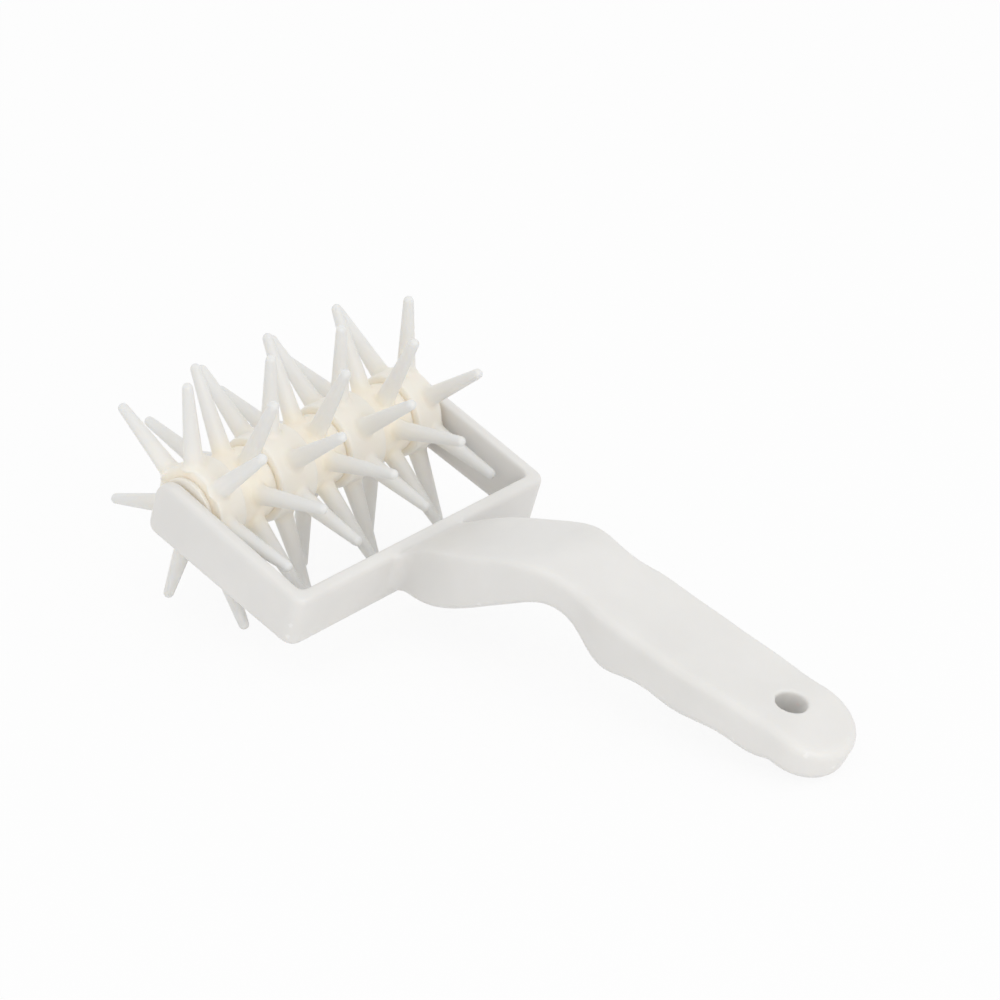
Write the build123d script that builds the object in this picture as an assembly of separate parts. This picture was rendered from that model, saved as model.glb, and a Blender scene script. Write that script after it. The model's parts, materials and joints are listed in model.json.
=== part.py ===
from build123d import *
import functools
import math
import os

# Dough docker: a forked plastic handle that carries a roller of seven star wheels.
# It is modelled with the yoke level and the axle at the origin: +X runs along the axle,
# -Y towards the end of the handle and +Z up. Then it is tilted to lie on a table, on its
# pins and the end of the handle, with the origin at the middle of its footprint.

# Roller
pin_reach = 31.0
wheel_pitch = 11.7
wheel_count = 7
pins_per_wheel = 7
first_pin_angle = 24.5
first_wheel_turn = -6.0

# Star wheel: every other one has a slim hub, so that its pins stand in a groove
broad_hub_radius = 10.7
slim_hub_radius = 8.9
pin_sink = 1.5
pin_tip_diameter = 2.6
pin_root_diameter = 4.7
root_flare = 1.0
flare_rise = 0.6
wheel_play = 0.1
end_wheel_side = 2.3
hub_edge_rounding = 0.5

# Axle
axle_diameter = 8.0
flat_depth = 1.6
journal_diameter = 4.8
journal_clearance = 0.06
bore_clearance = 0.08
socket_depth = 2.2
socket_end_gap = 0.2
axle_chamfer = 0.3

# End washer
washer_radius = 8.0
washer_thickness = 1.2
washer_rounding = 0.3
running_gap = 0.3

# Yoke
arm_thickness = 3.4
arm_length = 41.3
arm_end_reach = 7.8
bar_thickness = 3.5
yoke_top = 4.8
yoke_end_top = 6.6
yoke_bottom = 9.4
end_top_rounding = 5.5
end_bottom_rounding = 2.5
outer_corner_radius = 3.2
inner_corner_radius = 1.2
outer_edge_rounding = 1.4
inner_edge_rounding = 0.6

# Handle
handle_reach = 115.4
grip_top = 34.9
grip_half_width = 12.4
neck_edge_rounding = 0.9
grip_edge_rounding = 2.2
underside_rounding = 2.6
hang_hole_diameter = 7.0
hang_hole_inset = 16.2

# The handle's stations, from inside the crossbar to the middle of its half round end. Each gives
# its top place and its under place, and its half width. Places along are shares of the handle's
# reach, heights are shares of the grip's top, and widths are shares of the grip's half width.
handle_shares = (
    (-0.016, 0.070, -0.016, -0.225, 0.980),
    (0.003, 0.150, 0.001, -0.203, 0.890),
    (0.027, 0.228, 0.022, -0.170, 0.820),
    (0.060, 0.324, 0.048, -0.126, 0.890),
    (0.132, 0.493, 0.110, -0.034, 1.030),
    (0.201, 0.642, 0.175, 0.109, 1.055),
    (0.262, 0.771, 0.236, 0.287, 1.050),
    (0.318, 0.851, 0.297, 0.464, 1.005),
    (0.379, 0.874, 0.357, 0.593, 0.905),
    (0.431, 0.882, 0.422, 0.602, 0.895),
    (0.474, 0.885, 0.474, 0.540, 0.970),
    (0.517, 0.888, 0.517, 0.493, 0.990),
    (0.574, 0.897, 0.574, 0.544, 0.990),
    (0.626, 0.908, 0.626, 0.582, 0.990),
    (0.686, 0.920, 0.686, 0.585, 0.983),
    (0.743, 0.940, 0.743, 0.625, 0.965),
    (0.799, 0.957, 0.799, 0.662, 0.932),
    (0.855, 0.974, 0.855, 0.672, 0.905),
    (0.914, 0.989, 0.903, 0.730, 0.880),
)

# The grip's upper edges reach their full rounding at this share of the handle's reach.
knee_share = 0.45

# The handle's end is half round, so its radius is the half width of the last station.
end_radius = handle_shares[-1][-1] * grip_half_width

overrun = 1.0

# Worked out from the sizes above
pin_spacing = 360 / pins_per_wheel
inner_half_width = (
    (wheel_count - 1) / 2 * wheel_pitch + end_wheel_side + washer_thickness + running_gap
)
outer_half_width = inner_half_width + arm_thickness
journal_half_length = inner_half_width + socket_depth - socket_end_gap
axle_half_length = inner_half_width - running_gap
flat_from_centre = axle_diameter / 2 - flat_depth
axle_flat_angle = first_pin_angle + pin_spacing / 4


def radial(radius, angle):
    """A place in the YZ plane, at an angle from +Y towards +Z."""
    turn = math.radians(angle)
    return (radius * math.cos(turn), radius * math.sin(turn))


def along_x(sketch, start, length):
    """Extrude a sketch of the YZ plane from one place on X, over a length."""
    return extrude(Plane.YZ.offset(start) * sketch, length)


def d_section(radius, flat_reach, angle):
    """A circle with one side cut flat, at a reach from its centre, the flat facing an angle."""
    cut = Pos(flat_reach + radius, 0) * Rectangle(2 * radius, 3 * radius)
    return Rot(0, 0, angle) * (Circle(radius) - cut)


def pin_solid(hub_radius):
    """One pin along +Z from the axle's line: a flared root, a slow taper and a round end."""
    tip = pin_tip_diameter / 2
    root = pin_root_diameter / 2
    shoulder = pin_reach - tip
    foot = hub_radius - pin_sink
    flare_edge = (root + root_flare, hub_radius - root_flare / 2)
    flare_top = (root, hub_radius + root_flare)
    taper = (tip - root, shoulder - flare_top[1])
    profile = Polyline((0, foot), (root, foot), flare_edge)
    profile += Spline(flare_edge, flare_top, tangents=((-1, flare_rise), taper))
    profile += Line(flare_top, (tip, shoulder))
    profile += ThreePointArc(
        (tip, shoulder),
        (tip * math.sin(math.pi / 4), shoulder + tip * math.cos(math.pi / 4)),
        (0, pin_reach),
    )
    profile += Line((0, pin_reach), (0, foot))
    return revolve(Plane.XZ * make_face(profile.edges()), Axis.Z)


def wheel_angle(number):
    """The angle of a wheel's first pin. Every other wheel is half a pin spacing further on."""
    angle = first_pin_angle
    if number % 2 == 0:
        angle += pin_spacing / 2
    if number == 1:
        angle += first_wheel_turn
    return angle


@functools.cache
def wheel_solid(hub_radius, low_side, high_side, flat_turn):
    """A wheel with its first pin along +Y, from low_side below X zero to high_side above it."""
    hub = along_x(Circle(hub_radius), -low_side, low_side + high_side)
    rims = hub.faces().sort_by(Axis.X)
    hub = fillet(rims[0].edges() + rims[-1].edges(), hub_edge_rounding)
    pin = pin_solid(hub_radius)
    hub += [Rot(index * pin_spacing - 90, 0, 0) * pin for index in range(pins_per_wheel)]
    bore = d_section(axle_diameter / 2 + bore_clearance, flat_from_centre + bore_clearance, flat_turn)
    return hub - along_x(bore, -low_side - overrun, low_side + high_side + 2 * overrun)


def star_wheel(number):
    """One star wheel in its place on the axle, with its bore's flat against the axle's."""
    side = (wheel_pitch - wheel_play) / 2
    low_side = end_wheel_side if number == 1 else side
    high_side = end_wheel_side if number == wheel_count else side
    hub_radius = broad_hub_radius if number % 2 else slim_hub_radius
    angle = wheel_angle(number)
    wheel = wheel_solid(hub_radius, low_side, high_side, axle_flat_angle - angle)
    return Pos((number - (wheel_count + 1) / 2) * wheel_pitch, 0, 0) * Rot(angle, 0, 0) * wheel


def axle():
    """The axle: a D-shaped middle and two round journals."""
    middle = d_section(axle_diameter / 2, flat_from_centre, axle_flat_angle)
    solid = along_x(middle, -axle_half_length, 2 * axle_half_length)
    solid += along_x(Circle(journal_diameter / 2), -journal_half_length, 2 * journal_half_length)
    ends = solid.faces().sort_by(Axis.X)
    return chamfer(ends[0].edges() + ends[-1].edges(), axle_chamfer)


def end_washer(side):
    """The collar between an end wheel and its arm; side is -1 or +1."""
    inner = axle_half_length - washer_thickness
    start = inner if side > 0 else -axle_half_length
    disc = along_x(Circle(washer_radius), start, washer_thickness)
    disc = fillet(disc.edges(), washer_rounding)
    bore = Circle(axle_diameter / 2 + bore_clearance)
    return disc - along_x(bore, start - overrun, washer_thickness + 2 * overrun)


def yoke():
    """The square fork: two arms and a crossbar, open at the front, with rounded edges."""
    back = -arm_length
    plan = Pos(0, (arm_end_reach + back) / 2) * Rectangle(2 * outer_half_width, arm_end_reach - back)
    plan = fillet(plan.vertices().group_by(Axis.Y)[0], outer_corner_radius)
    side_view = make_face(
        Polyline(
            (back, -yoke_bottom),
            (arm_end_reach, -yoke_bottom),
            (arm_end_reach, yoke_end_top),
            (back, yoke_top),
            close=True,
        )
    )
    low_end, high_end = side_view.vertices().group_by(Axis.X)[-1].sort_by(Axis.Y)
    side_view = fillet(low_end, end_bottom_rounding)
    high_end = side_view.vertices().sort_by_distance((arm_end_reach, yoke_end_top))[0]
    side_view = fillet(high_end, end_top_rounding)
    block = extrude(plan, grip_top, both=True) & along_x(side_view, -outer_half_width, 2 * outer_half_width)
    block = fillet(open_rims(block.edges()), outer_edge_rounding)

    window_length = arm_end_reach + overrun - back - bar_thickness
    window = Pos(0, back + bar_thickness + window_length / 2) * Rectangle(2 * inner_half_width, window_length)
    window = fillet(window.vertices().group_by(Axis.Y)[0], inner_corner_radius)
    window = extrude(window, grip_top, both=True)
    fork = block - window
    return fillet(open_rims(new_edges(block, window, combined=fork)), inner_edge_rounding)


def open_rims(edges):
    """The edges to round: all but the rear uprights and the ones across the open front."""
    uprights = edges.filter_by(Axis.Z).filter_by_position(Axis.Y, -arm_length, 0)
    fronts = edges.filter_by(Axis.X).filter_by_position(Axis.Y, 0, arm_end_reach)
    return edges - uprights - fronts


def socket(side):
    """The room of a blind socket in an arm."""
    start = inner_half_width - overrun if side > 0 else -inner_half_width - socket_depth
    return along_x(Circle(journal_diameter / 2 + journal_clearance), start, socket_depth + overrun)


def station_plane(station):
    """The plane that holds a station's top and under place, and the height between them."""
    top_along, top_up, under_along, under_up = station[:4]
    top = Vector(0, -arm_length - top_along * handle_reach, top_up * grip_top)
    under = Vector(0, -arm_length - under_along * handle_reach, under_up * grip_top)
    outward = Vector(1, 0, 0).cross(top - under)
    return Plane(origin=(top + under) / 2, x_dir=(1, 0, 0), z_dir=outward), (top - under).length


def handle_section(station):
    """One section of the handle, a rectangle with rounded corners."""
    plane, height = station_plane(station)
    softness = min(1, max(0, station[0] / knee_share))
    rounding = neck_edge_rounding + softness * (grip_edge_rounding - neck_edge_rounding)
    outline = Rectangle(2 * station[-1] * grip_half_width, height)
    outline = fillet(outline.vertices().group_by(Axis.Y)[0], underside_rounding)
    outline = fillet(outline.vertices().group_by(Axis.Y)[-1], rounding)
    return plane * outline


def handle():
    """The neck and the grip: a loft through the stations, then a half round end."""
    sections = [handle_section(station) for station in handle_shares]
    plane = station_plane(handle_shares[-1])[0]
    side_room = Box(grip_top, grip_top, grip_top, align=(Align.MIN, Align.CENTER, Align.CENTER))
    half = sections[-1] & Pos(plane.origin) * side_room
    return loft(sections) + revolve(half, Axis(plane.origin, plane.y_dir), -180)


def hang_hole():
    """The hole near the end of the grip, square to its top."""
    plane = station_plane(handle_shares[-1])[0]
    centre = plane.origin + plane.z_dir * (end_radius - hang_hole_inset)
    across = Plane(origin=centre, x_dir=plane.x_dir, z_dir=plane.y_dir)
    return across * Cylinder(hang_hole_diameter / 2, grip_top)


def resting_tilt():
    """The tilt about the axle at which the lowest pins and the handle's end are level."""
    plane, height = station_plane(handle_shares[-1])
    edge = plane.origin + plane.z_dir * (end_radius - underside_rounding)
    edge -= plane.y_dir * (height / 2 - underside_rounding)
    tip_radius = pin_tip_diameter / 2
    tilts = []
    for number in range(1, wheel_count + 1):
        for pin in range(pins_per_wheel):
            y, z = radial(pin_reach - tip_radius, wheel_angle(number) + pin * pin_spacing)
            distance = math.hypot(y - edge.Y, edge.Z - z)
            slope = math.atan2(edge.Z - z, y - edge.Y)
            tilts.append(slope - math.asin((underside_rounding - tip_radius) / distance))
    return math.degrees(max(tilts))


def main():
    os.makedirs("parts", exist_ok=True)
    frame = yoke() + handle() - hang_hole()
    for side in (-1, 1):
        frame -= socket(side)
    pieces = {"handle_frame": frame, "axle": axle()}
    for number in range(1, wheel_count + 1):
        pieces[f"star_wheel_{number}"] = star_wheel(number)
    pieces["end_washer_left"] = end_washer(-1)
    pieces["end_washer_right"] = end_washer(1)

    tilt = resting_tilt()
    pieces = {name: Rot(tilt, 0, 0) * shape for name, shape in pieces.items()}
    boxes = [shape.bounding_box() for shape in pieces.values()]
    low_y = min(box.min.Y for box in boxes)
    high_y = max(box.max.Y for box in boxes)
    floor = min(box.min.Z for box in boxes)
    shift = Pos(0, -(low_y + high_y) / 2, -floor)
    for name, shape in pieces.items():
        export_step(shift * shape, os.path.join("parts", f"{name}.step"))
    print("tilt", tilt, "axle centre", shift.position)


main()
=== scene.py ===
import bpy
import json
import math
from mathutils import Matrix, Vector

# The looks of the dough docker: a square fork on a bent handle, with a roller of star wheels.
# "Fork frame" below means the part's own directions before it is laid down: X along the axle,
# -Y towards the handle's end and Z square to the fork, with the axle's centre at the origin.

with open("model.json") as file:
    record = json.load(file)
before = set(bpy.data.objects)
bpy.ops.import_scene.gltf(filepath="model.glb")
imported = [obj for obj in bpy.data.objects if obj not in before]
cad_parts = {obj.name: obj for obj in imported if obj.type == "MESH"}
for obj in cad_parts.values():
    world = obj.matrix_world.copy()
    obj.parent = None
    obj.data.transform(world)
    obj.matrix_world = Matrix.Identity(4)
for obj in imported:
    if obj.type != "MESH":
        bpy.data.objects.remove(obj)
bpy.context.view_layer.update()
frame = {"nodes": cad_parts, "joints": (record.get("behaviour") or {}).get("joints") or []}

MM = 0.001
AXLE = Vector(frame["joints"][0]["pos_m"])
ACROSS = Vector((1, 0, 0))
TILT = math.radians(20.295)
LAY_DOWN = Matrix.Translation(AXLE) @ Matrix.Rotation(TILT, 4, "X")

# Camera, in the fork frame: where it stands round the axle, and how it is turned
CAMERA_AZIMUTH = math.radians(122.26)
CAMERA_ELEVATION = math.radians(37.84)
CAMERA_ROLL = math.radians(16.90)
CAMERA_RIGHT = 46.9 * MM
CAMERA_UP = -10.61 * MM
CAMERA_DISTANCE = 682.9 * MM
FOCAL_PIXELS = 2846.5
IMAGE_PIXELS = 1000.0
SENSOR = 36.0
CLIP_NEAR = 0.01
CLIP_FAR = 50

# Light. Each lamp has its name, place, size, watts and colour, and points at the origin.
WORLD_LIGHT = 0.87
WORLD_SEEN = 1.0
LAMPS = (
    ("key", (-0.2, -0.1, 1.2), 0.9, 0.7, (0.88, 1.0, 0.98)),
    ("front", (-0.45, -1.15, 0.3), 0.7, 3.1, (1.0, 0.985, 0.965)),
)

# Floor: a matt table that is mixed with plain white where it is seen
FLOOR_SPAN = 6
FLOOR_SHADE = (0.9, 0.9, 0.9, 1)
FLOOR_WHITE_SHARE = 0.9

# Plastic. Colours stand along a factor: the frame's along its cloudiness, and the roller's along
# the distance from the axle, as a share of the pins' reach.
ROLLER_RADIUS = 31 * MM
FRAME_COLOURS = ((0.35, (0.80, 0.786, 0.767)), (0.65, (0.815, 0.801, 0.781)))
ROLLER_COLOURS = (
    (0.0, (0.90, 0.835, 0.72)),
    (0.30, (0.91, 0.86, 0.77)),
    (0.42, (0.84, 0.82, 0.785)),
    (0.60, (0.79, 0.78, 0.762)),
    (1.0, (0.752, 0.752, 0.746)),
)
# Painted glow: a faint light in the gaps between hubs, in place of light scattered from wheel to
# wheel
HUB_GLOW = (
    (0.0, (0.11, 0.083, 0.05)),
    (0.27, (0.055, 0.043, 0.026)),
    (0.335, (0.012, 0.010, 0.006)),
    (0.40, (0.0, 0.0, 0.0)),
)
FRAME_SCATTER_SHARE = 0.2
FRAME_SCATTER_DEPTH = 2.5 * MM
# Painted highlight: how far the frame's convex edges pale
FRAME_EDGE_HIGHLIGHT = 0.5
ROLLER_SCATTER_SHARE = 0.6
ROLLER_SCATTER_DEPTH = 5 * MM
# Painted highlight: how far the roller's convex edges pale
ROLLER_EDGE_HIGHLIGHT = 0.1
SCATTER_BY_COLOUR = (1.0, 0.88, 0.72)
PLASTIC_IOR = 1.49
ROUGHNESS_LOW = 0.31
ROUGHNESS_HIGH = 0.43
CLOUD = {"Scale": 55.0, "Detail": 4.0}
HANDLING = {"Scale": 140.0, "Detail": 3.0}
SKIN = {"Scale": 900.0, "Detail": 2.0}
SKIN_BUMP_STRENGTH = 0.12
SKIN_BUMP_HEIGHT = 0.05 * MM
MOTTLE = ((0.3, (0.97, 0.97, 0.965)), (0.7, (1.0, 1.0, 1.0)))
# Painted highlight on convex edges: they pale towards this colour as their pointiness goes from the
# start to the full mark
EDGE_HIGHLIGHT_COLOUR = (0.90, 0.89, 0.88, 1)
EDGE_STARTS = 0.52
EDGE_FULL = 0.58

# Softened edges and inner corners
FRAME_VOXEL = 0.4 * MM
FRAME_CLOSING = 1.4 * MM
FRAME_SMOOTHINGS = 6
WHEEL_VOXEL = 0.28 * MM
WHEEL_SMOOTHINGS = 5
SMOOTHING_FACTOR = 0.5


def make_camera():
    """The camera at the photograph's viewing angle."""
    back = Vector((
        -math.sin(CAMERA_AZIMUTH) * math.cos(CAMERA_ELEVATION),
        math.cos(CAMERA_AZIMUTH) * math.cos(CAMERA_ELEVATION),
        math.sin(CAMERA_ELEVATION),
    ))
    level_right = Vector((0, 0, 1)).cross(back).normalized()
    level_up = back.cross(level_right)
    right = math.cos(CAMERA_ROLL) * level_right + math.sin(CAMERA_ROLL) * level_up
    up = -math.sin(CAMERA_ROLL) * level_right + math.cos(CAMERA_ROLL) * level_up
    matrix = Matrix((right, up, back)).transposed().to_4x4()
    matrix.translation = CAMERA_RIGHT * right + CAMERA_UP * up + CAMERA_DISTANCE * back
    data = bpy.data.cameras.new("camera")
    data.sensor_width = SENSOR
    data.lens = FOCAL_PIXELS / IMAGE_PIXELS * SENSOR
    data.clip_start = CLIP_NEAR
    data.clip_end = CLIP_FAR
    camera = bpy.data.objects.new("camera", data)
    bpy.context.scene.collection.objects.link(camera)
    camera.matrix_world = LAY_DOWN @ matrix
    bpy.context.scene.camera = camera


def fill(socket, value):
    """Gives a socket a value, or links it when the value is another node's output."""
    if isinstance(value, bpy.types.NodeSocket):
        socket.id_data.links.new(value, socket)
    else:
        socket.default_value = value


def add(nodes, kind, inputs, operation=None):
    """A new shader node, with values or links for its inputs by name or by number."""
    node = nodes.new(kind)
    if operation:
        node.operation = operation
    for key, value in inputs.items():
        fill(node.inputs[key], value)
    return node


def math_node(nodes, operation, first, second):
    return add(nodes, "ShaderNodeMath", {0: first, 1: second}, operation).outputs[0]


def mix_colours(nodes, factor, first, second, blend_type="MIX"):
    node = nodes.new("ShaderNodeMix")
    node.data_type = "RGBA"
    node.blend_type = blend_type
    for name, value in (("Factor", factor), ("A", first), ("B", second)):
        fill(node.inputs[name], value)
    return node.outputs["Result"]


def ramp(nodes, factor, stops):
    """Colours along a factor, as (place, colour) stops."""
    node = add(nodes, "ShaderNodeValToRGB", {"Fac": factor})
    elements = node.color_ramp.elements
    while len(elements) < len(stops):
        elements.new(0.5)
    for element, (place, colour) in zip(elements, stops):
        element.position = place
        element.color = (*colour, 1)
    return node.outputs["Color"]


def across_roller(nodes):
    """How far a place is from the axle's line, as a share of the pins' reach."""
    place = nodes.new("ShaderNodeTexCoord").outputs["Object"]
    moved = add(nodes, "ShaderNodeVectorMath", {0: place, 1: AXLE}, "SUBTRACT").outputs[0]
    square = add(nodes, "ShaderNodeVectorMath", {0: moved, 1: ACROSS}, "CROSS_PRODUCT").outputs[0]
    length = add(nodes, "ShaderNodeVectorMath", {0: square}, "LENGTH").outputs["Value"]
    return math_node(nodes, "DIVIDE", length, ROLLER_RADIUS)


def plastic(name, stops, scatter_share, scatter_depth, edge_highlight, painted_glow=None, along=None):
    """Moulded translucent plastic: clouded throughout, with a fine satin skin and painted edge
    highlights.

    stops are colours along a factor from zero to one; along makes that factor from the nodes, and
    without it the clouds do. scatter_share is how much light goes into the plastic, scatter_depth
    is how far it goes in, and the edge highlight share is how far convex edges pale towards a
    painted highlight. The glow colours, along the same factor, are a painted glow: a faint
    emitted light in place of light scattered through the plastic.
    """
    material = bpy.data.materials.new(name)
    material.use_nodes = True
    nodes, links = material.node_tree.nodes, material.node_tree.links
    shader = nodes["Principled BSDF"]
    place = nodes.new("ShaderNodeTexCoord").outputs["Object"]
    cloud = add(nodes, "ShaderNodeTexNoise", {"Vector": place, **CLOUD}).outputs["Fac"]
    factor = along(nodes) if along else cloud
    colour = ramp(nodes, factor, stops)
    tinted = mix_colours(nodes, 1.0, colour, ramp(nodes, cloud, MOTTLE), "MULTIPLY")
    # Painted highlight: convex edges, found by their pointiness, pale towards a light colour
    pointiness = nodes.new("ShaderNodeNewGeometry").outputs["Pointiness"]
    edge = ramp(nodes, pointiness, ((EDGE_STARTS, (0, 0, 0)), (EDGE_FULL, (edge_highlight, edge_highlight, edge_highlight))))
    highlighted = mix_colours(nodes, edge, tinted, EDGE_HIGHLIGHT_COLOUR)
    links.new(highlighted, shader.inputs["Base Color"])
    handling = add(nodes, "ShaderNodeTexNoise", {"Vector": place, **HANDLING}).outputs["Fac"]
    satin = {"Value": handling, "To Min": ROUGHNESS_LOW, "To Max": ROUGHNESS_HIGH}
    links.new(add(nodes, "ShaderNodeMapRange", satin).outputs["Result"], shader.inputs["Roughness"])
    skin = add(nodes, "ShaderNodeTexNoise", {"Vector": place, **SKIN}).outputs["Fac"]
    relief = {"Strength": SKIN_BUMP_STRENGTH, "Distance": SKIN_BUMP_HEIGHT, "Height": skin}
    links.new(add(nodes, "ShaderNodeBump", relief).outputs["Normal"], shader.inputs["Normal"])
    # Painted glow: a faint emitted light in place of light scattered through the plastic
    if painted_glow:
        links.new(ramp(nodes, factor, painted_glow), shader.inputs["Emission Color"])
        shader.inputs["Emission Strength"].default_value = 1.0
        material.cycles.emission_sampling = "NONE"
    shader.inputs["IOR"].default_value = PLASTIC_IOR
    shader.inputs["Subsurface Weight"].default_value = scatter_share
    shader.inputs["Subsurface Radius"].default_value = SCATTER_BY_COLOUR
    shader.inputs["Subsurface Scale"].default_value = scatter_depth
    return material


def soften(node, voxel, closing, smoothings):
    """Rounds the node's inner corners by closing, then its edges by a little smoothing."""
    def remesh():
        step = node.modifiers.new("remesh", "REMESH")
        step.mode = "VOXEL"
        step.voxel_size = voxel
        step.use_smooth_shade = True

    def swell(amount):
        step = node.modifiers.new("swell", "DISPLACE")
        step.strength = amount
        step.mid_level = 0.0

    remesh()
    if closing:
        swell(closing)
        remesh()
        swell(-closing)
        remesh()
    smooth = node.modifiers.new("smooth", "SMOOTH")
    smooth.factor = SMOOTHING_FACTOR
    smooth.iterations = smoothings


def set_material(obj, material):
    obj.data.materials.clear()
    obj.data.materials.append(material)


def background_strength(nodes, light, seen):
    """A strength that is `seen` for what is seen directly, mirrored or through, else `light`."""
    path = nodes.new("ShaderNodeLightPath").outputs
    direct = math_node(nodes, "MAXIMUM", path["Is Camera Ray"], path["Is Glossy Ray"])
    either = math_node(nodes, "MAXIMUM", direct, path["Is Transmission Ray"])
    strengths = {"Value": either, "To Min": light, "To Max": seen}
    return add(nodes, "ShaderNodeMapRange", strengths).outputs["Result"]


def make_world():
    world = bpy.data.worlds.new("studio")
    bpy.context.scene.world = world
    world.use_nodes = True
    nodes, links = world.node_tree.nodes, world.node_tree.links
    background = nodes["Background"]
    background.inputs["Color"].default_value = (1, 1, 1, 1)
    strength = background_strength(nodes, WORLD_LIGHT, WORLD_SEEN)
    links.new(strength, background.inputs["Strength"])


def make_floor():
    """A white table that keeps a faint shadow of the object."""
    bpy.ops.mesh.primitive_plane_add(size=FLOOR_SPAN)
    floor = bpy.context.object
    floor.name = "floor"
    material = bpy.data.materials.new("table")
    material.use_nodes = True
    nodes, links = material.node_tree.nodes, material.node_tree.links
    nodes.clear()
    output = nodes.new("ShaderNodeOutputMaterial")
    matt = add(nodes, "ShaderNodeBsdfDiffuse", {"Color": FLOOR_SHADE}).outputs[0]
    white = add(nodes, "ShaderNodeEmission", {"Strength": 1.0}).outputs[0]
    share = background_strength(nodes, 0.0, FLOOR_WHITE_SHARE)
    mix = add(nodes, "ShaderNodeMixShader", {0: share, 1: matt, 2: white}).outputs[0]
    links.new(mix, output.inputs["Surface"])
    set_material(floor, material)


def add_lamp(name, place, size, watts, colour):
    data = bpy.data.lights.new(name, "AREA")
    data.color = colour
    data.size = size
    data.energy = watts
    lamp = bpy.data.objects.new(name, data)
    bpy.context.scene.collection.objects.link(lamp)
    lamp.location = place
    lamp.rotation_euler = (-Vector(place)).to_track_quat("-Z", "Y").to_euler()


make_camera()
make_world()
make_floor()
for lamp in LAMPS:
    add_lamp(*lamp)

frame_plastic = plastic(
    "frame_plastic", FRAME_COLOURS, FRAME_SCATTER_SHARE, FRAME_SCATTER_DEPTH, FRAME_EDGE_HIGHLIGHT,
)
roller_plastic = plastic(
    "roller_plastic", ROLLER_COLOURS, ROLLER_SCATTER_SHARE, ROLLER_SCATTER_DEPTH, ROLLER_EDGE_HIGHLIGHT,
    painted_glow=HUB_GLOW, along=across_roller,
)
for name, node in frame["nodes"].items():
    is_frame = name == "handle_frame"
    set_material(node, frame_plastic if is_frame else roller_plastic)
    if is_frame:
        soften(node, FRAME_VOXEL, FRAME_CLOSING, FRAME_SMOOTHINGS)
    elif name.startswith("star_wheel"):
        soften(node, WHEEL_VOXEL, 0.0, WHEEL_SMOOTHINGS)
    else:
        for polygon in node.data.polygons:
            polygon.use_smooth = True

bpy.context.scene.view_settings.view_transform = "Standard"
